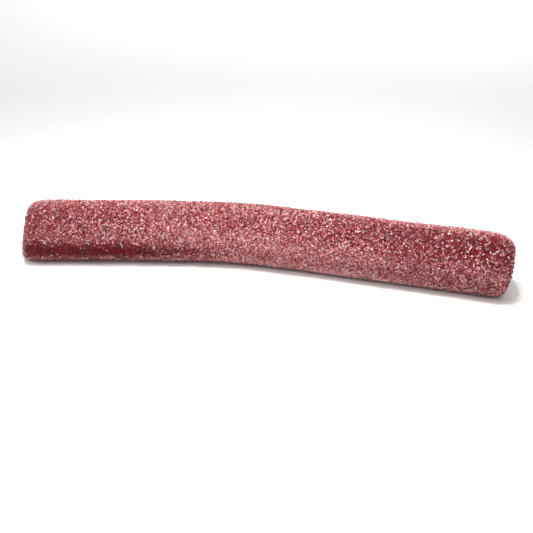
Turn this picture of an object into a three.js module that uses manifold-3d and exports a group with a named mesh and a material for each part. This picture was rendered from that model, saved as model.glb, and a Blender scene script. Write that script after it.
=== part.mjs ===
// Sour strawberry pencil: a hand-long tube of strawberry jelly round a white filling, rolled in sour
// sugar. It lies on the table with one gentle bend, and both ends are knife cuts that show the filling.
import * as THREE from "three";
import { mergeVertices } from "three/addons/utils/BufferGeometryUtils.js";
import Module from "manifold-3d";

const wasm = await Module();
wasm.setup();

// Driving dimensions, in millimetres: X runs along the pencil, Z is up and the table is at Z = 0
const leftCut = -64.5; // where the centre line ends at each cut, along X
const rightCut = 65.5;
const jellyRadius = 8.0; // the jelly's skin, under the sugar
const fillingRadius = 5.3;
const fitGap = 0.12; // left between the filling and the bore round it
const rimRound = 2.0; // rounding of the jelly's outer edge at a cut
const boreRound = 0.35; // rounding of the jelly's inner edge at a cut
const fillingDome = 0.55; // how far the filling swells out of the cut
const fillingEdge = 0.35; // how far the filling's edge stays inside the cut
const restDepth = 0.35; // how much of the underside is pressed flat by the pencil's own weight
const uneven = 0.1; // how far the skin wanders from round
const sway = { perMillimetre: 0.11, start: 1.3, towards: 0.6 }; // one side stands out, then the other
const ripple = { perMillimetre: 0.23, lobes: 2 }; // the section turns slightly oval
const endShortfall = 0.38; // how much less the cut ends reach to -Y than the bend does to +Y, halved

// The bend, in the plane of the table: the centre line is one arm of a hyperbola
const bendSlope = 0.166; // how steeply each arm runs off
const bendPlace = -9.4; // X of the sharpest turn
const bendReach = 14; // half the stretch over which it turns

// The knife comes down from above: it pulls the top wall over and leaves each cut a little askew.
// lean and swing are slopes of the cut, upwards and sideways, and pull is in millimetres.
const cuts = [
  { place: leftCut, inward: 1, lean: 0.16, swing: -0.057, pull: 0.84 },
  { place: rightCut, inward: -1, lean: 0.178, swing: -0.15, pull: 2.2 },
];
const pullReach = 6; // how far from a cut the top wall is pulled down
const pullMiddle = 0.65; // share of that reach where the wall has one more row of points
const askewReach = 14; // how far from a cut its slant dies out

// The largest sugar crystals, fused to the jelly
const grainCount = 325; // with those that the underside leaves out
const grainLeast = 0.8; // longest side of a crystal
const grainMost = 1.2;
const grainBare = 1.6; // bare band of jelly next to each cut
const grainSunk = 0.06; // how far under the skin a crystal's middle lies
const grainWidth = [0.65, 0.85]; // least and most, as shares of a crystal's length
const grainDepth = [0.6, 0.75];
const blockShare = 0.6; // this share are blocks, and the others taper and have five sides
const prismSides = 5;
const prismRadii = [0.42, 0.56]; // at its two ends, as shares of its width
const grainStray = 0.12; // how far a crystal strays from its place round the pencil, in radians
const grainSeed = 2669;
const bareUnderside = THREE.MathUtils.degToRad(38); // each way from straight down, kept free to rest on

// Fineness of the facets
const roundSteps = 32;
const outerStep = 6;
const boreStep = 9;
const edgeSteps = 3;
const domeSteps = 4;

const restHeight = jellyRadius - restDepth;
const boreRadius = fillingRadius + fitGap;
const planMiddle = (planOffset(rightCut) + planOffset(bendPlace)) / 2 + endShortfall;

// The centre line's offset in Y at a place along X, before it is centred on the box
function planOffset(x) {
  return -bendSlope * Math.hypot(x - bendPlace, bendReach);
}

// How far the skin stands off the round, at a place along and an angle round the pencil
function swell(along, angle) {
  const swayed = Math.sin(sway.perMillimetre * along + sway.start) * Math.cos(angle - sway.towards);
  const rippled = Math.sin(ripple.perMillimetre * along + ripple.lobes * angle);
  return (uneven * (swayed + rippled)) / 2;
}

// Takes a point of the straight pencil to its place in the real one
function bendPoint(along, side, up) {
  const grown = 1 + swell(along, Math.atan2(up, side)) / jellyRadius;
  const across = side * grown;
  let lift = up * grown;
  let station = along;
  for (const cut of cuts) {
    const near = THREE.MathUtils.clamp(1 - ((along - cut.place) * cut.inward) / pullReach, 0, 1);
    lift -= cut.pull * near ** 2 * Math.max(0, up / jellyRadius);
  }
  for (const cut of cuts) {
    const near = THREE.MathUtils.smoothstep(1 - ((along - cut.place) * cut.inward) / askewReach, 0, 1);
    station += near * (cut.lean * lift + cut.swing * across);
  }
  const reach = Math.hypot(station - bendPlace, bendReach);
  const slope = (-bendSlope * (station - bendPlace)) / reach;
  const turn = across / Math.hypot(1, slope);
  return new THREE.Vector3(
    station - turn * slope,
    planOffset(station) - planMiddle + turn,
    Math.max(0, restHeight + lift),
  );
}

function bendGeometry(geometry) {
  const places = geometry.getAttribute("position");
  for (let i = 0; i < places.count; i++) {
    const bent = bendPoint(places.getX(i), places.getY(i), places.getZ(i));
    places.setXYZ(i, bent.x, bent.y, bent.z);
  }
  return geometry;
}

// Turns a lathe's profile of (radius, place along) round the X axis
function turnAlongX(profile) {
  const turned = new THREE.LatheGeometry(profile, roundSteps);
  // Y goes to X, Z to Y and X to Z, which keeps the faces pointing out
  turned.applyMatrix4(new THREE.Matrix4().set(0, 1, 0, 0, 0, 0, 1, 0, 1, 0, 0, 0, 0, 0, 0, 1));
  return turned;
}

function solidOf(geometry) {
  const bare = geometry.clone();
  bare.deleteAttribute("normal");
  bare.deleteAttribute("uv");
  const welded = mergeVertices(bare);
  return new wasm.Manifold(
    new wasm.Mesh({
      numProp: 3,
      vertProperties: new Float32Array(welded.attributes.position.array),
      triVerts: new Uint32Array(welded.index.array),
    }),
  );
}

function geometryOf(solid) {
  const mesh = solid.getMesh();
  const geometry = new THREE.BufferGeometry();
  geometry.setAttribute("position", new THREE.BufferAttribute(mesh.vertProperties, mesh.numProp));
  geometry.setIndex(new THREE.BufferAttribute(mesh.triVerts, 1));
  geometry.computeVertexNormals();
  return geometry;
}

// Places along a wall from left to right: one in the stretch pulled down at each cut, even ones between
function wallStations(step) {
  const from = leftCut + pullReach;
  const to = rightCut - pullReach;
  const steps = Math.round((to - from) / step);
  const even = Array.from({ length: steps + 1 }, (_, i) => THREE.MathUtils.lerp(from, to, i / steps));
  return [leftCut + pullReach * pullMiddle, ...even, rightCut - pullReach * pullMiddle];
}

// Points of a profile along a wall of one radius
function wall(radius, step) {
  return wallStations(step).map((along) => new THREE.Vector2(radius, along));
}

// A quarter round of an edge, from the angle given, about a centre in (radius, place along)
function quarterRound(centre, radius, startAngle, steps = edgeSteps) {
  return Array.from({ length: steps + 1 }, (_, i) => {
    const angle = startAngle + ((Math.PI / 2) * i) / steps;
    return new THREE.Vector2(centre.x + radius * Math.cos(angle), centre.y + radius * Math.sin(angle));
  });
}

// The jelly: up the outer wall, over the right rim, back down the bore and over the left rim
function jellyProfile() {
  const outer = jellyRadius - rimRound;
  const inner = boreRadius + boreRound;
  const profile = [
    ...quarterRound(new THREE.Vector2(outer, leftCut + rimRound), rimRound, -Math.PI / 2),
    ...wall(jellyRadius, outerStep),
    ...quarterRound(new THREE.Vector2(outer, rightCut - rimRound), rimRound, 0),
    ...quarterRound(new THREE.Vector2(inner, rightCut - boreRound), boreRound, Math.PI / 2, 1),
    ...wall(boreRadius, boreStep).reverse(),
    ...quarterRound(new THREE.Vector2(inner, leftCut + boreRound), boreRound, Math.PI, 1),
  ];
  return [...profile, profile[0].clone()];
}

// The filling: a plain rod with a low dome at each end
function fillingProfile() {
  const dome = Array.from({ length: domeSteps + 1 }, (_, i) => {
    const angle = (Math.PI / 2) * (i / domeSteps);
    return { radius: fillingRadius * Math.cos(angle), rise: (fillingDome + fillingEdge) * Math.sin(angle) };
  });
  const rightEnd = dome.map(({ radius, rise }) => new THREE.Vector2(radius, rightCut - fillingEdge + rise));
  const leftEnd = dome.map(({ radius, rise }) => new THREE.Vector2(radius, leftCut + fillingEdge - rise));
  rightEnd[domeSteps].x = 0;
  leftEnd[domeSteps].x = 0;
  return [...leftEnd.reverse(), ...wall(fillingRadius, boreStep), ...rightEnd];
}

// Seeded draws between 0 and 1
function makeDraws(seed) {
  const factor = 1664525;
  const increment = 1013904223;
  let state = seed;
  return () => {
    state = (Math.imul(state, factor) + increment) >>> 0;
    return state / 2 ** 32;
  };
}

// One crystal on the straight pencil: a block or a tapered prism, turned any way
function crystal(along, angle, draw) {
  const long = THREE.MathUtils.lerp(grainLeast, grainMost, draw());
  const wide = long * THREE.MathUtils.lerp(...grainWidth, draw());
  const deep = long * THREE.MathUtils.lerp(...grainDepth, draw());
  const [tip, foot] = prismRadii.map((share) => share * wide);
  const shape =
    draw() < blockShare
      ? new THREE.BoxGeometry(wide, deep, long)
      : new THREE.CylinderGeometry(tip, foot, long, prismSides);
  const tilt = new THREE.Euler(Math.PI * draw(), Math.PI * draw(), Math.PI * draw());
  const depth = jellyRadius - grainSunk;
  shape.applyMatrix4(new THREE.Matrix4().makeRotationFromEuler(tilt));
  shape.translate(along, depth * Math.cos(angle), depth * Math.sin(angle));
  return shape;
}

// The crystals follow a spiral whose turns keep them evenly apart, each moved a little by chance
function crystals() {
  const draw = makeDraws(grainSeed);
  const goldenTurn = Math.PI * (3 - Math.sqrt(5));
  const from = leftCut + grainBare;
  const step = (rightCut - leftCut - 2 * grainBare) / (grainCount - 1);
  const made = [];
  for (let i = 0; i < grainCount; i++) {
    const along = from + step * i + (draw() - 0.5) * step;
    const angle = (i * goldenTurn + (draw() - 0.5) * grainStray) % (2 * Math.PI);
    const shape = crystal(along, angle, draw);
    const fromBelow = Math.abs(Math.atan2(Math.cos(angle), -Math.sin(angle)));
    if (fromBelow > bareUnderside) made.push(shape);
  }
  return made;
}

function jellyTube() {
  const tube = solidOf(bendGeometry(turnAlongX(jellyProfile())));
  const grains = crystals().map((shape) => solidOf(bendGeometry(shape)));
  const mesh = new THREE.Mesh(
    geometryOf(wasm.Manifold.union([tube, ...grains])),
    new THREE.MeshStandardMaterial({ color: "#9b3a45", roughness: 0.5, metalness: 0 }),
  );
  mesh.name = "jelly_tube";
  return mesh;
}

function creamFilling() {
  const mesh = new THREE.Mesh(
    bendGeometry(turnAlongX(fillingProfile())),
    new THREE.MeshStandardMaterial({ color: "#e8e0d2", roughness: 0.7, metalness: 0 }),
  );
  mesh.name = "cream_filling";
  return mesh;
}

const group = new THREE.Group();
group.add(jellyTube(), creamFilling());
export default group;
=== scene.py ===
# %% [markdown]
# # A sour strawberry pencil
# This sweet is a thick tube of red strawberry jelly round a white filling, rolled in sour sugar while
# it is still sticky. The lesson dresses a plain construction model of it: a smooth jelly skin, a soft
# filling, and tens of thousands of real sugar crystals, because the crystals are what the eye sees.
# The construction model is loaded first. It fixes where everything lies and how big it may get.

# %% Load the construction model
import math

import bmesh
import bpy
import numpy as np
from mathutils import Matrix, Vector, noise


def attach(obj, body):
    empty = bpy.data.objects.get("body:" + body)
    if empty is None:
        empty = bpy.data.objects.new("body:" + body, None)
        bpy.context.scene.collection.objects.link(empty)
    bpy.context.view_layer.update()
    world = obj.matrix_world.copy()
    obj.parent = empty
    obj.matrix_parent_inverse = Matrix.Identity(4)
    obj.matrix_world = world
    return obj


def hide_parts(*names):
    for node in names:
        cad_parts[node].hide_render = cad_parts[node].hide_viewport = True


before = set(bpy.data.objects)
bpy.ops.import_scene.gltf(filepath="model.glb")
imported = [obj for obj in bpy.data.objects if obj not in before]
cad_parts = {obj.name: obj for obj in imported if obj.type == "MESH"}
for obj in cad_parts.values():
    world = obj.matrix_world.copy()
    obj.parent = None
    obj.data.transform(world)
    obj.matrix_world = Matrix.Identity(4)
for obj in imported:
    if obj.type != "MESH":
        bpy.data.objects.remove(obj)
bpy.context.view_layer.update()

# %% [markdown]
# ## The pencil's measures
# All lengths are in millimetres until a mesh is finished, since that is how a sweet is measured. The
# two cuts are 130 mm apart, and the jelly's skin has a radius of 8 mm under the sugar. The filling
# takes up about two thirds of the diameter.

# %% Lengths and radii
MM = 0.001
LEFT_CUT = -64.5  # where the centre line ends at each cut, along X
RIGHT_CUT = 65.5
JELLY_RADIUS = 8.0
FILLING_RADIUS = 5.3
FIT_GAP = 0.03  # left between the filling and the bore round it
BORE_RADIUS = FILLING_RADIUS + FIT_GAP
RIM_ROUND = 2.0  # rounding of the jelly's outer edge at a cut
BORE_ROUND = 0.18  # rounding of the jelly's inner edge at a cut
FILLING_DOME = 0.55  # how far the filling swells out of the cut
FILLING_EDGE = 0.12  # how far the filling's edge stays inside the cut
REST_DEPTH = 0.35  # how much of the underside is pressed flat by the pencil's own weight
REST_HEIGHT = JELLY_RADIUS - REST_DEPTH
print("jelly wall:", round(JELLY_RADIUS - BORE_RADIUS, 2), "mm thick")

# %% [markdown]
# ## From a straight pencil to the real one
# The pencil could be modelled bent from the start, but a straight one is far easier to think about:
# every point has a place along, a distance to the side and a height over the middle. So each piece is
# made straight and goes through one function at the end. That function gives the skin its slight
# unevenness, pulls the top wall over at each cut, as the knife did, leaves the cuts a little askew,
# and lays the whole along one arm of a hyperbola, which turns gently and only once.

# %% The bend in the plane of the table
BEND_SLOPE = 0.166  # how steeply each arm runs off
BEND_PLACE = -9.4  # X of the sharpest turn
BEND_REACH = 14.0  # half the stretch over which it turns
END_SHORTFALL = 0.38  # how much less the ends reach to -Y than the bend does to +Y, halved


def plan_offset(x):
    """The centre line's offset to the side at a place along."""
    return -BEND_SLOPE * np.hypot(x - BEND_PLACE, BEND_REACH)


PLAN_MIDDLE = (plan_offset(RIGHT_CUT) + plan_offset(BEND_PLACE)) / 2 + END_SHORTFALL
print("the ends lie", round(float(plan_offset(BEND_PLACE) - plan_offset(RIGHT_CUT)), 1), "mm back")

# %% Unevenness and cuts
UNEVEN = 0.1  # how far the skin wanders from round
SWAY = dict(per_mm=0.11, start=1.3, towards=0.6)  # one side stands out, then the other
RIPPLE = dict(per_mm=0.23, lobes=2)  # the section turns slightly oval
PULL_REACH = 6.0  # how far from a cut the top wall is pulled down
ASKEW_REACH = 14.0  # how far from a cut its slant dies out
# lean and swing are slopes of a cut, upwards and sideways, and pull is in millimetres
CUTS = (
    dict(place=LEFT_CUT, inward=1, lean=0.16, swing=-0.057, pull=0.84),
    dict(place=RIGHT_CUT, inward=-1, lean=0.178, swing=-0.15, pull=2.2),
)


def swell(along, angle):
    """How far the skin stands off the round."""
    sway = np.sin(SWAY["per_mm"] * along + SWAY["start"]) * np.cos(angle - SWAY["towards"])
    ripple = np.sin(RIPPLE["per_mm"] * along + RIPPLE["lobes"] * angle)
    return UNEVEN * (sway + ripple) / 2


def closeness(along, cut, reach):
    """1 at a cut, falling to 0 past a reach."""
    return np.clip(1 - (along - cut["place"]) * cut["inward"] / reach, 0, 1)


def bend(points):
    """Takes points of the straight pencil, in millimetres, to their places in metres."""
    along, side, up = np.asarray(points, float).T
    grown = 1 + swell(along, np.arctan2(up, side)) / JELLY_RADIUS
    across = side * grown
    lift = up * grown
    for cut in CUTS:
        pulled = cut["pull"] * closeness(along, cut, PULL_REACH) ** 2
        lift = lift - pulled * np.maximum(0, up / JELLY_RADIUS)
    station = along.copy()
    for cut in CUTS:
        close = closeness(along, cut, ASKEW_REACH)
        eased = close * close * (3 - 2 * close)
        station = station + eased * (cut["lean"] * lift + cut["swing"] * across)
    reach = np.hypot(station - BEND_PLACE, BEND_REACH)
    slope = -BEND_SLOPE * (station - BEND_PLACE) / reach
    turn = across / np.hypot(1, slope)
    x = station - turn * slope
    y = plan_offset(station) - PLAN_MIDDLE + turn
    z = np.maximum(0, REST_HEIGHT + lift)
    return np.stack([x, y, z], 1) * MM


print("middle of the pencil:", bend([(0, 0, 0)]).round(4)[0], "m")

# %% [markdown]
# ## Places on the skin
# Sugar lies on the skin, so a place on it needs an address. It could be a point in space, but two
# numbers say it better: the way along the skin's outline, which runs over the rounded rim at each cut
# too, and the angle round the pencil. One function turns an address into a point and the directions
# there, and a second one finds the address of a point.

# %% The way and the angle
WALL_START = LEFT_CUT + RIM_ROUND
WALL_LENGTH = RIGHT_CUT - LEFT_CUT - 2 * RIM_ROUND
RIM_LENGTH = RIM_ROUND * math.pi / 2


def skin_frame(way, angle):
    """Points of the skin and the axes there: along, round and outward, as columns."""
    past = np.where(way < 0, way, np.maximum(way - WALL_LENGTH, 0)) / RIM_ROUND
    along = WALL_START + np.clip(way, 0, WALL_LENGTH) + RIM_ROUND * np.sin(past)
    radius = JELLY_RADIUS - RIM_ROUND * (1 - np.cos(past))
    nothing = np.zeros_like(angle)
    outward = np.stack([nothing, np.cos(angle), np.sin(angle)], 1)
    ahead = np.stack([np.ones_like(angle), nothing, nothing], 1)
    normal = np.sin(past)[:, None] * ahead + np.cos(past)[:, None] * outward
    tangent = np.cos(past)[:, None] * ahead - np.sin(past)[:, None] * outward
    points = along[:, None] * ahead + radius[:, None] * outward
    return points, np.stack([tangent, np.cross(normal, tangent), normal], 2)


def skin_place(points):
    """The way and angle of points of the straight jelly."""
    along, side, up = points.T
    inward = np.hypot(side, up) - JELLY_RADIUS + RIM_ROUND
    way = along - WALL_START
    before = -RIM_ROUND * np.arctan2(np.maximum(-way, 0), inward)
    after = WALL_LENGTH + RIM_ROUND * np.arctan2(np.maximum(way - WALL_LENGTH, 0), inward)
    return np.where(way < 0, before, np.where(way > WALL_LENGTH, after, way)), np.arctan2(up, side)


print("skin from rim to rim:", round(WALL_LENGTH + 2 * RIM_LENGTH, 1), "mm")

# %% Parts of the skin
# A part is a middle and a reach, in degrees round the pencil: 90 is the top and 180 the front
UPPER_BACK = (70, 27)
UPPER_FRONT = (120, 41)
FRONT = (180, 25)
LOW_FRONT = (203, 16)
UNDER_FRONT = (237, 24)
THICKEST = 0.41 * WALL_LENGTH  # the way to where the sugar is thickest
END_REACH = 0.55 * WALL_LENGTH


def facing(angle, part):
    """1 where the skin faces the middle of a part, falling to 0 past its reach."""
    middle, reach = (math.radians(degrees) for degrees in part)
    return np.exp(-((np.sin((angle - middle) / 2) / math.sin(reach / 2)) ** 2))


def towards_ends(way):
    """0 where the sugar is thickest, rising as the square of the distance to about 1 at an end."""
    return ((way - THICKEST) / END_REACH) ** 2


def stretch(middle, reach):
    """A function that is 1 at a place along the skin and falls to 0 past a reach, in millimetres."""
    return lambda way: np.exp(-(((way - middle) / reach) ** 2))


print("sugar is thickest", round(THICKEST), "mm along")

# %% [markdown]
# ## Where sugar lies
# Sugar doesn't lie evenly, and two functions say how it lies, so that the fine grains drawn on the
# jelly and the crystals on it agree. The first says how much there is: it lies thickest left of the
# middle, thins out towards the ends and over the rims, and near the left end the low front got hardly
# any. The second says how dry it stayed, because a crystal that draws up syrup turns from white
# through pink to red. It carries painted shade and light as well: darker towards the ends on the
# upper front, on the low front and in the bare streak, and paler in the middle.

# %% How much sugar holds
STREAK_END = 62.0  # how far along the skin the bare streak reaches
STREAK_FADE = 36.0  # the last stretch, over which it fades out
STREAK_BARENESS = 0.86
RIM_THINNING = 0.3
UPPER_THINNING = 0.4
PATCH_LENGTH = 4.5  # millimetres along the skin
PATCHES_ROUND = 2.2
PATCH_DEPTH = 0.25


def bare_shaded_streak(way, angle):
    """The low front near the left end, from 0 to 1: bare of sugar, and darker as painted shade too.
    It fades over the rim and towards the middle.
    """
    over_rim = np.clip(1 + way / RIM_LENGTH, 0, 1)
    return facing(angle, LOW_FRONT) * over_rim * np.clip((STREAK_END - way) / STREAK_FADE, 0, 1) ** 2


def patchiness(way, angle):
    """Chance differences over a few millimetres, from -1 to 1."""
    across, up = PATCHES_ROUND * np.cos(angle), PATCHES_ROUND * np.sin(angle)
    return np.array([noise.noise(Vector(p)) for p in zip(way / PATCH_LENGTH, across, up)])


def sugar_share(way, angle):
    """The chance that a crystal holds at a place, from 0 to 1."""
    past_rim = np.maximum(np.maximum(-way, way - WALL_LENGTH), 0) / RIM_LENGTH
    # Sugar thins out over the second half of a rim
    rims = 1 - RIM_THINNING * np.clip(2 * past_rim - 1, 0, 1)
    thinned = 1 - UPPER_THINNING * towards_ends(way) * facing(angle, UPPER_FRONT)
    patches = np.minimum(1 + PATCH_DEPTH * patchiness(way, angle), 1)
    return rims * thinned * patches * (1 - STREAK_BARENESS * bare_shaded_streak(way, angle))


streak_middle = np.array([WALL_LENGTH / 10]), np.radians([LOW_FRONT[0]])
print("sugar that holds in the bare streak:", sugar_share(*streak_middle).round(2)[0])

# %% How dry the sugar stays, with painted shade and light
EVEN_DRYNESS = 0.555
# How much darker the crystals in the bare streak are drawn: partly soaked sugar, partly painted shade
SYRUP_AND_SHADE_IN_STREAK = 0.6

# How much drier the crystals are on a part of the skin and along it, or wetter below 0. Three rows
# hold painted shade and light, as said above each
DRYNESS_AND_LIGHT_CHANGES = (
    (-0.08, UPPER_FRONT, np.ones_like),
    # Darker on the upper front towards the ends: partly wetter sugar, partly painted shade where the light
    # falls off
    (-0.27, UPPER_FRONT, towards_ends),
    (0.42, UPPER_BACK, towards_ends),
    (0.36, UNDER_FRONT, stretch(80, 27)),
    (-0.07, UPPER_FRONT, stretch(92, 22)),
    # Paler on the front in the middle: partly drier sugar, partly painted light where the light is
    # brightest
    (0.15, FRONT, stretch(62, 34)),
    # Darker all along the low front: painted shade on the underside
    (-0.09, LOW_FRONT, np.ones_like),
)


def sugar_dryness_and_painted_light(way, angle):
    """How dry a crystal is on average, from 0 to 1, painted shade and light included."""
    changes = [much * facing(angle, part) * along(way) for much, part, along in DRYNESS_AND_LIGHT_CHANGES]
    dryness_and_light = EVEN_DRYNESS + sum(changes) - SYRUP_AND_SHADE_IN_STREAK * bare_shaded_streak(way, angle)
    return np.clip(dryness_and_light, 0, 1)


print("dryness in the bare streak:", sugar_dryness_and_painted_light(*streak_middle).round(2)[0])

# %% [markdown]
# ## Colours and nodes
# The colours below are picked as sRGB hex values, as a colour picker shows them. The shader works in
# linear light, so one function turns them. A second small function adds a node to a material with its
# settings and its links, and every material is built with it.

# %% Helpers for materials
# Inputs and output of a mix node that mixes colours, by number because several share a name
SHARE, FIRST, SECOND, MIXED = 0, 6, 7, 2


def hex_colour(text):
    """An sRGB hex value as linear red, green, blue and full alpha."""
    parts = [int(text[i : i + 2], 16) / 255 for i in (1, 3, 5)]
    return (*(p / 12.92 if p <= 0.04045 else ((p + 0.055) / 1.055) ** 2.4 for p in parts), 1.0)


def add(material, kind, values=None, **settings):
    """Adds a node. A value that is a socket is linked, and any other is set on the input."""
    made = material.node_tree.nodes.new(kind)
    for name, setting in settings.items():
        setattr(made, name, setting)
    for name, value in (values or {}).items():
        if isinstance(value, bpy.types.NodeSocket):
            material.node_tree.links.new(value, made.inputs[name])
        else:
            made.inputs[name].default_value = value
    return made


def set_tones(ramp_node, tones):
    """Gives a colour ramp its tones, as a hex value for each position from 0 to 1."""
    ramp = ramp_node.color_ramp
    # A new ramp has one element at 0 and one at 1
    ramp.elements[0].color = hex_colour(tones[0])
    ramp.elements[1].color = hex_colour(tones[1])
    for position, tone in tones.items():
        if 0 < position < 1:
            ramp.elements.new(position).color = hex_colour(tone)


def new_material(name):
    """An empty node material."""
    material = bpy.data.materials.new(name)
    material.use_nodes = True
    material.node_tree.nodes.clear()
    return material


def finish_material(material, shader):
    """Joins the shader to the output."""
    add(material, "ShaderNodeOutputMaterial", {"Surface": shader.outputs["BSDF"]})
    print("material:", material.name, len(material.node_tree.nodes), "nodes")
    return material


print("middle grey in linear light:", round(hex_colour("#808080")[0], 3))

# %% [markdown]
# ## Strawberry jelly
# The jelly is a cooked starch and gelatine gel, extruded warm. Light goes a millimetre or two into it
# and comes out red, so it looks deep and a little lit from inside where it is thin. A plain red would
# look painted: what makes it jelly is the subsurface scattering, whose red travels furthest. Between
# the crystals lies a bed of the finest sugar, pale where it kept dry and dark where syrup soaked it,
# with the sugar's painted shade and light in its paleness too. Its grains could be modelled as well,
# but they are small and mostly hidden, so a cell pattern with a little bump draws them. The rim of a
# cut has none, since the knife came after the sugar, and it is drawn a brighter red as painted light,
# since no grains shade it.

# %% Jelly material
BED_TONES = {0: "#420c11", 0.15: "#601219", 0.35: "#84272e", 0.7: "#a85358", 1: "#d69899"}


def make_jelly():
    m = new_material("strawberry_gelatine_jelly")
    place = add(m, "ShaderNodeTexCoord").outputs["Object"]
    cover = add(m, "ShaderNodeAttribute", attribute_name="sugar_cover").outputs["Fac"]
    pale = add(m, "ShaderNodeAttribute", attribute_name="sugar_paleness_and_light").outputs["Fac"]
    rim = add(m, "ShaderNodeAttribute", attribute_name="bare_lit_rim").outputs["Fac"]
    # The cooked syrup is streaked over about 4 mm
    streaks = add(m, "ShaderNodeTexNoise", {"Vector": place, "Scale": 1 / (4 * MM), "Detail": 3.0})
    # Where little sugar held, the skin is wet right through and looks deeper, and in the bare streak
    # the deeper red is painted shade as well
    dried_and_lit = add(m, "ShaderNodeMapRange", {"Value": pale, "From Max": 0.25})
    clouding = add(
        m,
        "ShaderNodeMath",
        {0: streaks.outputs["Fac"], 1: dried_and_lit.outputs[0]},
        operation="MULTIPLY",
    )
    syrup = add(
        m,
        "ShaderNodeMix",
        {FIRST: hex_colour("#5c0c13"), SECOND: hex_colour("#821b25"), SHARE: clouding.outputs[0]},
        data_type="RGBA",
    )
    # The rim at a cut is drawn a brighter red, as painted light, since no grains shade it there
    skin = add(
        m,
        "ShaderNodeMix",
        {FIRST: syrup.outputs[MIXED], SECOND: hex_colour("#8c3c44"), SHARE: rim},
        data_type="RGBA",
    )
    # The finest sugar makes a bed of grains 0.4 mm across, each with its own share of syrup
    grain = add(m, "ShaderNodeTexVoronoi", {"Vector": place, "Scale": 1 / (0.4 * MM)})
    chance = add(m, "ShaderNodeSeparateColor", {"Color": grain.outputs["Color"]})
    lifted = add(m, "ShaderNodeMapRange", {"Value": chance.outputs["Red"], "To Min": 0.22})
    # Their paleness carries the sugar's painted shade and light too
    paleness = add(m, "ShaderNodeMath", {0: lifted.outputs[0], 1: pale}, operation="MULTIPLY")
    tone = add(m, "ShaderNodeValToRGB", {"Fac": paleness.outputs[0]})
    set_tones(tone, BED_TONES)
    # Dark jelly shows between two grains
    inside = add(
        m,
        "ShaderNodeMapRange",
        {"Value": grain.outputs["Distance"], "From Min": 0.55, "From Max": 0.35},
    )
    held = add(m, "ShaderNodeMath", {0: inside.outputs[0], 1: cover}, operation="MULTIPLY")
    colour = add(
        m,
        "ShaderNodeMix",
        {FIRST: skin.outputs[MIXED], SECOND: tone.outputs["Color"], SHARE: held.outputs[0]},
        data_type="RGBA",
    )
    gloss = add(m, "ShaderNodeMapRange", {"Value": held.outputs[0], "To Min": 0.3, "To Max": 0.6})
    bump = add(
        m,
        "ShaderNodeBump",
        {"Height": held.outputs[0], "Strength": 0.7, "Distance": 0.12 * MM},
    )
    shader = add(
        m,
        "ShaderNodeBsdfPrincipled",
        {
            "Base Color": colour.outputs[MIXED],
            "Roughness": gloss.outputs[0],
            "Normal": bump.outputs["Normal"],
            "IOR": 1.42,
            "Specular IOR Level": 0.06,  # crystals all round keep the sheen off the skin
            "Subsurface Weight": 0.2,
            "Subsurface Radius": (1.0, 0.18, 0.12),
            "Subsurface Scale": 1.0 * MM,
        },
    )
    return finish_material(m, shader)


jelly_finish = make_jelly()

# %% [markdown]
# ## Sugar
# Granulated sugar is clear sucrose, grown as blunt blocks with flat faces. On the jelly each crystal
# takes some red from below and some from the syrup that creeps up it, so most look pink, and a few
# keep dry and stay white. Each crystal carries one number for that, kept as an attribute on its own
# points, and the number carries the painted shade and light of the sugar as well. Clear glass would
# be the plain choice, but it would show mostly the floor and the lamps. Half clear and half coloured,
# a crystal lets the red through and still looks like one grain, and smooth faces give it its glints.

# %% Sugar material
CRYSTAL_TONES = {0: "#5b1319", 0.2: "#812128", 0.45: "#b45057", 0.8: "#f69da0", 1: "#ffe1e2"}


def make_sugar():
    m = new_material("sucrose_crystals")
    place = add(m, "ShaderNodeTexCoord").outputs["Object"]
    # The attribute holds each crystal's dryness, with painted shade and light in it
    dry = add(m, "ShaderNodeAttribute", attribute_name="dryness_and_light").outputs["Fac"]
    colour = add(m, "ShaderNodeValToRGB", {"Fac": dry})
    set_tones(colour, CRYSTAL_TONES)
    # The faces are frosted where they rubbed, over about 0.25 mm
    rubbed = add(m, "ShaderNodeTexNoise", {"Vector": place, "Scale": 1 / (0.25 * MM), "Detail": 2.0})
    frost = add(
        m,
        "ShaderNodeMapRange",
        {"Value": rubbed.outputs["Fac"], "To Min": 0.08, "To Max": 0.42},
    )
    shader = add(
        m,
        "ShaderNodeBsdfPrincipled",
        {
            "Base Color": colour.outputs["Color"],
            "Roughness": frost.outputs[0],
            "IOR": 1.54,
            "Transmission Weight": 0.48,
        },
    )
    return finish_material(m, shader)


sugar_finish = make_sugar()

# %% [markdown]
# ## The white filling
# The filling is a fondant: very fine sugar in syrup, so it is matt, creamy and a little translucent.
# The knife leaves faint parallel drag lines and smears some red in from the jelly, which shows as a
# pink stain near its edge. An attribute tells how far a point is from the middle. The stain could be a
# ring of even width, but syrup never stops in a line, so noise makes its border wander.

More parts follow.
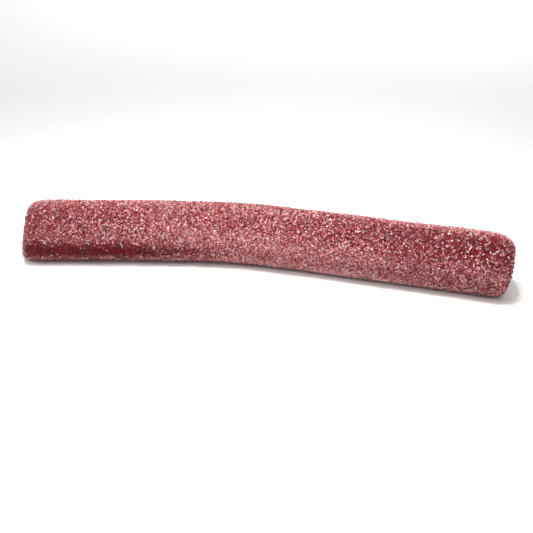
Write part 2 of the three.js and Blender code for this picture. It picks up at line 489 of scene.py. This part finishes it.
# %% Filling material
def make_filling():
    m = new_material("fondant_cream")
    place = add(m, "ShaderNodeTexCoord").outputs["Object"]
    outward = add(m, "ShaderNodeAttribute", attribute_name="from_middle").outputs["Fac"]
    # The stain's border wanders by noise over 2 mm
    wander = add(m, "ShaderNodeTexNoise", {"Vector": place, "Scale": 1 / (2 * MM), "Detail": 3.0})
    reach = add(
        m,
        "ShaderNodeMath",
        {0: wander.outputs["Fac"], 1: 0.22, 2: outward},
        operation="MULTIPLY_ADD",
    )
    stain = add(
        m,
        "ShaderNodeMapRange",
        {"Value": reach.outputs[0], "From Min": 0.95, "From Max": 1.12, "To Max": 0.85},
    )
    cloud = add(m, "ShaderNodeTexNoise", {"Vector": place, "Scale": 1 / (1.5 * MM), "Detail": 4.0})
    cream = add(
        m,
        "ShaderNodeMix",
        {FIRST: hex_colour("#d3d0be"), SECOND: hex_colour("#e6e3d4"), SHARE: cloud.outputs["Fac"]},
        data_type="RGBA",
    )
    colour = add(
        m,
        "ShaderNodeMix",
        {FIRST: cream.outputs[MIXED], SECOND: hex_colour("#e0a3a3"), SHARE: stain.outputs[0]},
        data_type="RGBA",
    )
    # Drag lines run down the cut, 0.4 mm apart, so the pattern is stretched along Z
    across = add(m, "ShaderNodeMapping", {"Vector": place, "Scale": (1.0, 1.0, 0.12)})
    drag = add(
        m,
        "ShaderNodeTexNoise",
        {"Vector": across.outputs[0], "Scale": 1 / (0.4 * MM), "Detail": 3.0},
    )
    bump = add(
        m,
        "ShaderNodeBump",
        {"Height": drag.outputs["Fac"], "Strength": 0.6, "Distance": 0.12 * MM},
    )
    shader = add(
        m,
        "ShaderNodeBsdfPrincipled",
        {
            "Base Color": colour.outputs[MIXED],
            "Roughness": 0.55,
            "Normal": bump.outputs["Normal"],
            "IOR": 1.48,
            "Subsurface Weight": 0.3,
            "Subsurface Radius": (1.0, 0.75, 0.5),
            "Subsurface Scale": 1.0 * MM,
        },
    )
    return finish_material(m, shader)


filling_finish = make_filling()

# %% [markdown]
# ## Spinning and finishing a piece
# Both the jelly and the filling are round, so an outline is drawn once and spun. After that every
# piece ends the same way. Its straight mesh is bent and gets its material, the piece is attached to
# the body it moves with, and the construction part it stands for is hidden.

# %% Spin an outline
SECTION_STEPS = 144
WELD = 0.001  # points closer than this become one, as at a pole


def spin_round(outline, closed):
    """Spins an outline of (along, radius) round the X axis and returns the bmesh."""
    bm = bmesh.new()
    verts = [bm.verts.new((along, 0, radius)) for along, radius in outline]
    ends = verts[1:] + verts[:1] if closed else verts[1:]
    edges = [bm.edges.new(pair) for pair in zip(verts, ends)]
    bmesh.ops.spin(
        bm,
        geom=verts + edges,
        cent=(0, 0, 0),
        axis=(1, 0, 0),
        dvec=(0, 0, 0),
        angle=2 * math.pi,
        steps=SECTION_STEPS,
        use_merge=True,
        use_duplicate=False,
    )
    bmesh.ops.remove_doubles(bm, verts=bm.verts, dist=WELD)
    bmesh.ops.recalc_face_normals(bm, faces=bm.faces)
    return bm


print("facets round the pencil:", SECTION_STEPS)

# %% Finish a piece
def new_object(name, data):
    """An object for a mesh, a light or a camera, in the scene."""
    made = bpy.data.objects.new(name, data)
    bpy.context.scene.collection.objects.link(made)
    return made


def set_measure(mesh, title, values):
    """Keeps one number for each point of a mesh."""
    layer = mesh.attributes.new(title, "FLOAT", "POINT")
    layer.data.foreach_set("value", np.asarray(values, np.float32))


def bent_piece(name, bm, measures):
    """Turns a straight bmesh into a bent object. measures work on points of the straight mesh."""
    mesh = bpy.data.meshes.new(name)
    bm.to_mesh(mesh)
    bm.free()
    straight = np.empty(len(mesh.vertices) * 3)
    mesh.vertices.foreach_get("co", straight)
    straight = straight.reshape(-1, 3)
    for title, measure in measures.items():
        set_measure(mesh, title, measure(straight))
    mesh.vertices.foreach_set("co", bend(straight).ravel())
    mesh.polygons.foreach_set("use_smooth", [True] * len(mesh.polygons))
    mesh.update()
    return new_object(name, mesh)


def dress(piece, finish, node):
    """Gives a piece its finish, attaches it to its body and hides the construction part it stands for."""
    piece.data.materials.append(finish)
    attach(piece, "root")
    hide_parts(node)
    print("piece:", piece.name, len(piece.data.polygons), "faces")


# %% [markdown]
# ## The jelly tube
# The tube could be extruded along its bent path, but its rounded rims would then need work of their
# own. Spinning its section is simpler: four corners make a closed ring, two bevels round the rims, and
# the long edges are cut into short ones so that the skin can bend and carry a fine unevenness.

# %% Shape of the jelly
OUTER_CUTS = 280
BORE_CUTS = 60
SAME_PLACE = 0.01  # millimetres within which a point counts as lying on a circle
LONG_EDGE = 1.0  # an edge that reaches further than this along runs from cut to cut
ROUGH_DEPTH = 0.06  # the mould's starch and the sugar leave the skin slightly rough
ROUGH_SIZE = 1.6
ROUGH_WAVES = (1.0, 2.0, 2)  # how fast finer waves weaken, how much finer each is, and how many
RIM_STEPS = 10
BORE_RIM_STEPS = 4


def edges_at(bm, radius, along=None):
    """Edges whose ends both lie at a radius: on a cut's rim if along is given, else along the wall."""
    found = []
    for edge in bm.edges:
        a, b = (v.co for v in edge.verts)
        if max(abs(math.hypot(p.y, p.z) - radius) for p in (a, b)) > SAME_PLACE:
            continue
        if along is None and abs(a.x - b.x) > LONG_EDGE:
            found.append(edge)
        elif along is not None and max(abs(a.x - along), abs(b.x - along)) < SAME_PLACE:
            found.append(edge)
    return found


def roughen(bm):
    """Moves the outer skin in and out a little."""
    for v in bm.verts:
        radius = math.hypot(v.co.y, v.co.z)
        if radius > BORE_RADIUS + BORE_ROUND:
            depth = ROUGH_DEPTH * noise.fractal(v.co / ROUGH_SIZE, *ROUGH_WAVES)
            v.co += depth * Vector((0, v.co.y, v.co.z)) / radius


def make_jelly_tube():
    corners = [
        (LEFT_CUT, BORE_RADIUS),
        (LEFT_CUT, JELLY_RADIUS),
        (RIGHT_CUT, JELLY_RADIUS),
        (RIGHT_CUT, BORE_RADIUS),
    ]
    bm = spin_round(corners, closed=True)
    rims = ((JELLY_RADIUS, RIM_ROUND, RIM_STEPS), (BORE_RADIUS, BORE_ROUND, BORE_RIM_STEPS))
    for cut in (LEFT_CUT, RIGHT_CUT):
        for radius, size, segments in rims:
            bmesh.ops.bevel(
                bm,
                geom=edges_at(bm, radius, cut),
                offset=size,
                offset_type="OFFSET",
                affect="EDGES",
                segments=segments,
                profile=0.5,
                material=-1,
            )
    for radius, cuts in ((JELLY_RADIUS, OUTER_CUTS), (BORE_RADIUS, BORE_CUTS)):
        bmesh.ops.subdivide_edges(bm, edges=edges_at(bm, radius), cuts=cuts, use_grid_fill=True)
    roughen(bm)
    return bm


print("the outer wall is cut into", OUTER_CUTS + 1, "rings")

# %% Jelly tube
# The rim's painted light fades over the same shares as its bareness
BARE_LIT_RIM = (0.125, 0.75)  # shares of the rounded rim's depth between which its bareness fades
MOST_PALENESS = 1.8  # of a grain where sugar lies thick and kept fully dry


def bare_lit_rim(points):
    """1 on the cut face, falling to 0 over the rounded rim."""
    depth = np.minimum(points[:, 0] - LEFT_CUT, RIGHT_CUT - points[:, 0])
    return np.interp(depth / RIM_ROUND, BARE_LIT_RIM, (1, 0))


def sugar_cover(points):
    """How much fine sugar lies on the skin, with none on the cut itself."""
    return sugar_share(*skin_place(points)) * (1 - bare_lit_rim(points))


def sugar_paleness_and_light(points):
    """How pale the palest fine grains are, with the sugar's painted shade and light."""
    return MOST_PALENESS * sugar_cover(points) * sugar_dryness_and_painted_light(*skin_place(points))


skin_measures = dict(bare_lit_rim=bare_lit_rim, sugar_cover=sugar_cover, sugar_paleness_and_light=sugar_paleness_and_light)
jelly = bent_piece("strawberry_jelly", make_jelly_tube(), skin_measures)
dress(jelly, jelly_finish, "jelly_tube")

# %% [markdown]
# ## The filling
# The filling is a rod with a low dome at each end, where it swelled out of the cut as the jelly let
# go of it. Half its outline is drawn once, mirrored for the other end, and spun.

# %% Cream filling
DOME_STEPS = 14


def make_filling_rod():
    turns = [math.pi / 2 * i / DOME_STEPS for i in range(DOME_STEPS + 1)]
    rise = FILLING_DOME + FILLING_EDGE
    dome = [(rise * math.sin(t), FILLING_RADIUS * max(0.0, math.cos(t))) for t in turns]
    right = [(RIGHT_CUT - FILLING_EDGE + up, radius) for up, radius in dome]
    left = [(LEFT_CUT + FILLING_EDGE - up, radius) for up, radius in reversed(dome)]
    bm = spin_round(left + right, closed=False)
    wall_edges = edges_at(bm, FILLING_RADIUS)
    bmesh.ops.subdivide_edges(bm, edges=wall_edges, cuts=BORE_CUTS, use_grid_fill=True)
    return bm


def from_middle(points):
    """0 at the filling's middle and 1 at its wall."""
    return np.hypot(points[:, 1], points[:, 2]) / FILLING_RADIUS


filling = bent_piece("cream_rod", make_filling_rod(), dict(from_middle=from_middle))
dress(filling, filling_finish, "cream_filling")

# %% [markdown]
# ## Sugar crystals
# The sugar could be a bumpy texture, but then its outline would be smooth and its glints would be
# wrong. Real crystals are cheap here: a blunt block, a prism, a splinter and a chip are modelled with
# a few faces each, and many copies of one are joined into one mesh. There are five such meshes, from a
# few coarse blocks to many fine chips, so that the small ones fill the gaps. Each shape is about one
# millimetre long, and its copies get their own sizes later.

# %% Crystal shapes
SLANT_UP = 0.35  # how far a splinter's point moves along for each millimetre up, and across
SLANT_ACROSS = -0.3


def block_crystal():
    """A blunt block: a cube with its edges cut off, 26 faces."""
    bm = bmesh.new()
    bmesh.ops.create_cube(bm, size=1.0)
    bmesh.ops.scale(bm, vec=(1.0, 0.74, 0.56), verts=bm.verts)
    bmesh.ops.bevel(
        bm, geom=bm.edges[:], offset=0.09, affect="EDGES", segments=1, profile=0.5, material=-1
    )
    return bm


def prism_crystal():
    """A flattened prism that narrows to one end, 6 faces."""
    bm = bmesh.new()
    bmesh.ops.create_cone(bm, cap_ends=True, segments=4, radius1=0.6, radius2=0.45, depth=0.55)
    bmesh.ops.scale(bm, vec=(1.0, 0.78, 1.0), verts=bm.verts)
    return bm


def splinter_crystal(width):
    """A slanted splinter, 6 faces."""
    bm = bmesh.new()
    bmesh.ops.create_cube(bm, size=1.0)
    bmesh.ops.scale(bm, vec=(1.0, width, 0.8 * width), verts=bm.verts)
    for v in bm.verts:
        v.co.x += SLANT_UP * v.co.z + SLANT_ACROSS * v.co.y
    return bm


def chip_crystal():
    """A three-sided chip, 5 faces."""
    bm = bmesh.new()
    bmesh.ops.create_cone(bm, cap_ends=True, segments=3, radius1=0.58, radius2=0.42, depth=0.6)
    return bm


def shape_arrays(bm):
    """A crystal's points and its triangles, as arrays."""
    bmesh.ops.triangulate(bm, faces=bm.faces)
    bm.verts.index_update()
    points = np.array([v.co for v in bm.verts])
    triangles = np.array([[v.index for v in face.verts] for face in bm.faces])
    bm.free()
    return points, triangles


print("triangles of a block:", len(shape_arrays(block_crystal())[1]))

# %% [markdown]
# ## Placing the crystals
# Places drawn purely by chance would clump and leave holes, and packed sugar doesn't. So the places
# step through the skin by shares that never fall into rows, those of the plastic number, and only
# stray a little by chance. Each crystal lies roughly flat on the skin, turned any way. The draws are
# seeded, so every run gives the same sweet.

# %% Places and turns of crystals
PLASTIC_NUMBER = 1.3247179572
STRAY = 0.15  # millimetres from the even place
LYING_TILT = math.radians(36)


def even_places(tries, draws):
    """Ways and angles spread evenly over the skin, each moved a little by chance."""
    steps = np.arange(tries)
    share_along = (draws.random() + steps / PLASTIC_NUMBER) % 1
    share_round = (draws.random() + steps / PLASTIC_NUMBER**2) % 1
    way = share_along * (WALL_LENGTH + 2 * RIM_LENGTH) - RIM_LENGTH + draws.normal(0, STRAY, tries)
    angle = share_round * 2 * math.pi + draws.normal(0, STRAY / JELLY_RADIUS, tries)
    return np.clip(way, -RIM_LENGTH, WALL_LENGTH + RIM_LENGTH), angle


def turned_axes(axes, draws):
    """Turns each crystal any way on the skin and tips it a little."""
    count = len(axes)
    spin = draws.uniform(0, 2 * math.pi, count)
    tip, roll = draws.normal(0, LYING_TILT, (2, count))
    cs, sn, ct, st, cr, sr = (f(a) for a in (spin, tip, roll) for f in (np.cos, np.sin))
    one, nil = np.ones(count), np.zeros(count)
    spins = np.stack([cs, -sn, nil, sn, cs, nil, nil, nil, one], 1).reshape(-1, 3, 3)
    tips = np.stack([ct, nil, st, nil, one, nil, -st, nil, ct], 1).reshape(-1, 3, 3)
    rolls = np.stack([one, nil, nil, nil, cr, -sr, nil, sr, cr], 1).reshape(-1, 3, 3)
    return axes @ spins @ tips @ rolls


print("first ways along:", even_places(4, np.random.default_rng(0))[0].round(1))

# %% [markdown]
# ## Joining the crystals
# A particle system could scatter the copies, but they have to be plain mesh in the end. Arrays do its
# work: all copies are sized and placed at once, go through the same bend as the jelly, and are
# written into a single mesh.

# %% Scatter
SMALLNESS = 1.5  # above 1, more crystals are near the least size than near the most
STRETCH = (0.85, 1.15)  # least and most, in each direction of a crystal
RISE_SPREAD = 0.07
DRYNESS_SPREAD = 0.25
DAMP_LIMIT = 0.92  # dryness of the driest crystal that still drew up syrup


def drawn_dryness_and_painted_light(way, angle, kept_dry, draws):
    """How dry each crystal is, with painted shade and light in it.
    A share of them drew up no syrup, though none in the streak.
    """
    damp = np.clip(draws.normal(sugar_dryness_and_painted_light(way, angle), DRYNESS_SPREAD), 0, DAMP_LIMIT)
    # No crystal stays white in the streak, which is kept dark: partly soaked sugar, partly painted shade
    return np.where(draws.random(len(way)) < kept_dry * (1 - bare_shaded_streak(way, angle)), 1.0, damp)


def scatter(name, shape, tries, sizes, rise, kept_dry, seed):
    """Joins copies of a crystal on the skin.

    sizes are the least and most of its longest side in millimetres, rise is how far its middle lies
    over the skin as a share of its size, and kept_dry is the share of crystals that stay white.
    """
    draws = np.random.default_rng(seed)
    way, angle = even_places(tries, draws)
    held = draws.random(tries) < sugar_share(way, angle)
    way, angle = way[held], angle[held]
    count = len(way)
    points, skin_axes = skin_frame(way, angle)
    axes = turned_axes(skin_axes, draws)
    least, most = sizes
    size = least + (most - least) * draws.random(count) ** SMALLNESS
    sides = draws.uniform(*STRETCH, (count, 3)) * size[:, None]
    lift = size * draws.normal(rise, RISE_SPREAD, count)
    centres = points + lift[:, None] * skin_axes[:, :, 2]
    corners, triangles = shape_arrays(shape)
    placed = np.einsum("nij,nkj->nki", axes, corners[None] * sides[:, None]) + centres[:, None]
    faces = triangles[None] + (np.arange(count) * len(corners))[:, None, None]
    mesh = bpy.data.meshes.new(name)
    mesh.from_pydata(bend(placed.reshape(-1, 3)).tolist(), [], faces.reshape(-1, 3).tolist())
    dryness_and_light = drawn_dryness_and_painted_light(way, angle, kept_dry, draws)
    set_measure(mesh, "dryness_and_light", np.repeat(dryness_and_light, len(corners)))
    dress(new_object(name, mesh), sugar_finish, "jelly_tube")


# %% Five kinds of sugar
scatter("coarse_sugar", block_crystal(), 2200, (0.46, 0.72), rise=0.08, kept_dry=0.03, seed=11)
scatter("medium_sugar", prism_crystal(), 17000, (0.38, 0.62), rise=0.1, kept_dry=0.08, seed=12)
scatter("long_sugar", splinter_crystal(0.42), 14000, (0.48, 0.72), rise=0.12, kept_dry=0.11, seed=15)
scatter("small_sugar", splinter_crystal(0.62), 16000, (0.34, 0.52), rise=0.14, kept_dry=0.17, seed=14)
scatter("fine_sugar", chip_crystal(), 20000, (0.24, 0.4), rise=0.17, kept_dry=0.14, seed=13)

# %% [markdown]
# ## Floor
# The floor is plain pale card. A backdrop without any grain would do as well, but a faint one keeps
# the shadow's soft edge from looking drawn.

# %% Floor
FLOOR_HALF = 1.5


def make_floor():
    m = new_material("pale_card")
    place = add(m, "ShaderNodeTexCoord").outputs["Object"]
    grain = add(m, "ShaderNodeTexNoise", {"Vector": place, "Scale": 1 / (1.2 * MM), "Detail": 2.0})
    tone = add(
        m,
        "ShaderNodeMix",
        {FIRST: hex_colour("#e7e6e4"), SECOND: hex_colour("#ebeae8"), SHARE: grain.outputs["Fac"]},
        data_type="RGBA",
    )
    shader = add(m, "ShaderNodeBsdfPrincipled", {"Base Color": tone.outputs[MIXED], "Roughness": 0.8})
    bm = bmesh.new()
    bmesh.ops.create_grid(bm, x_segments=1, y_segments=1, size=FLOOR_HALF)
    mesh = bpy.data.meshes.new("floor")
    bm.to_mesh(mesh)
    bm.free()
    mesh.materials.append(finish_material(m, shader))
    new_object("floor", mesh)


make_floor()

# %% [markdown]
# ## Light
# The room is pale all round, and one large soft light overhead gives the pencil its round form. Under
# that alone the sugar would look dull, since only a small light makes a flat face glint. So a small
# key stands low at the front left, and a second small light brightens the middle. The last one lights
# the floor behind, which would turn grey without it.

# %% Lights
def area_light(name, place, size, power, colour, spread=180.0, target=(0.0, 0.0, 0.0)):
    """A square soft light that looks at a target. Its spread is in degrees."""
    data = bpy.data.lights.new(name, "AREA")
    data.size = size
    data.energy = power
    data.color = hex_colour(colour)[:3]
    data.spread = math.radians(spread)
    light = new_object(name, data)
    light.location = place
    light.rotation_euler = (Vector(target) - Vector(place)).to_track_quat("-Z", "Y").to_euler()
    print("light:", name, power, "W")


area_light("overhead", (0.0, 0.25, 0.9), size=1.2, power=2.95, colour="#f8faff")
area_light("key", (-0.3, -0.2, 0.3), size=0.1, power=0.7, colour="#fff8f7")
area_light("pool", (-0.03, -0.05, 0.32), size=0.12, power=0.15, colour="#fffaf6", spread=50.0)
behind = (0.0, 0.46, 0.0)
area_light("backdrop", (0.0, 0.46, 0.5), size=0.3, power=0.5, colour="#ffffff", spread=70.0, target=behind)

# %% Pale room
world = bpy.data.worlds.new("pale_room")
world.use_nodes = True
room = world.node_tree.nodes["Background"]
room.inputs["Color"].default_value = hex_colour("#f4f5f7")
room.inputs["Strength"].default_value = 0.64
bpy.context.scene.world = world
bpy.context.scene.view_settings.view_transform = "Standard"
print("room strength:", round(room.inputs["Strength"].default_value, 2))

# %% [markdown]
# ## Camera
# The photograph was taken close up, from 25 degrees above the table and a little to the right. A close
# camera matters: it makes the near parts of the bend larger, as the picture shows.

# %% Camera
PHOTO_WIDTH = 533
FOCAL_PIXELS = 1054.2
AIM = Vector((1.956, -0.38, 0.58)) * MM
DISTANCE = 285.0 * MM
AZIMUTH = math.radians(9.12)
ELEVATION = math.radians(25.0)


def make_camera():
    data = bpy.data.cameras.new("camera")
    data.sensor_width = 36.0
    data.lens = FOCAL_PIXELS / PHOTO_WIDTH * data.sensor_width
    data.clip_start = 0.01
    level = math.cos(ELEVATION)
    back = Vector((math.sin(AZIMUTH) * level, -math.cos(AZIMUTH) * level, math.sin(ELEVATION)))
    camera = new_object("camera", data)
    camera.location = AIM + back * DISTANCE
    camera.rotation_euler = (-back).to_track_quat("-Z", "Y").to_euler()
    bpy.context.scene.camera = camera
    print("lens:", round(data.lens, 1), "mm")


make_camera()
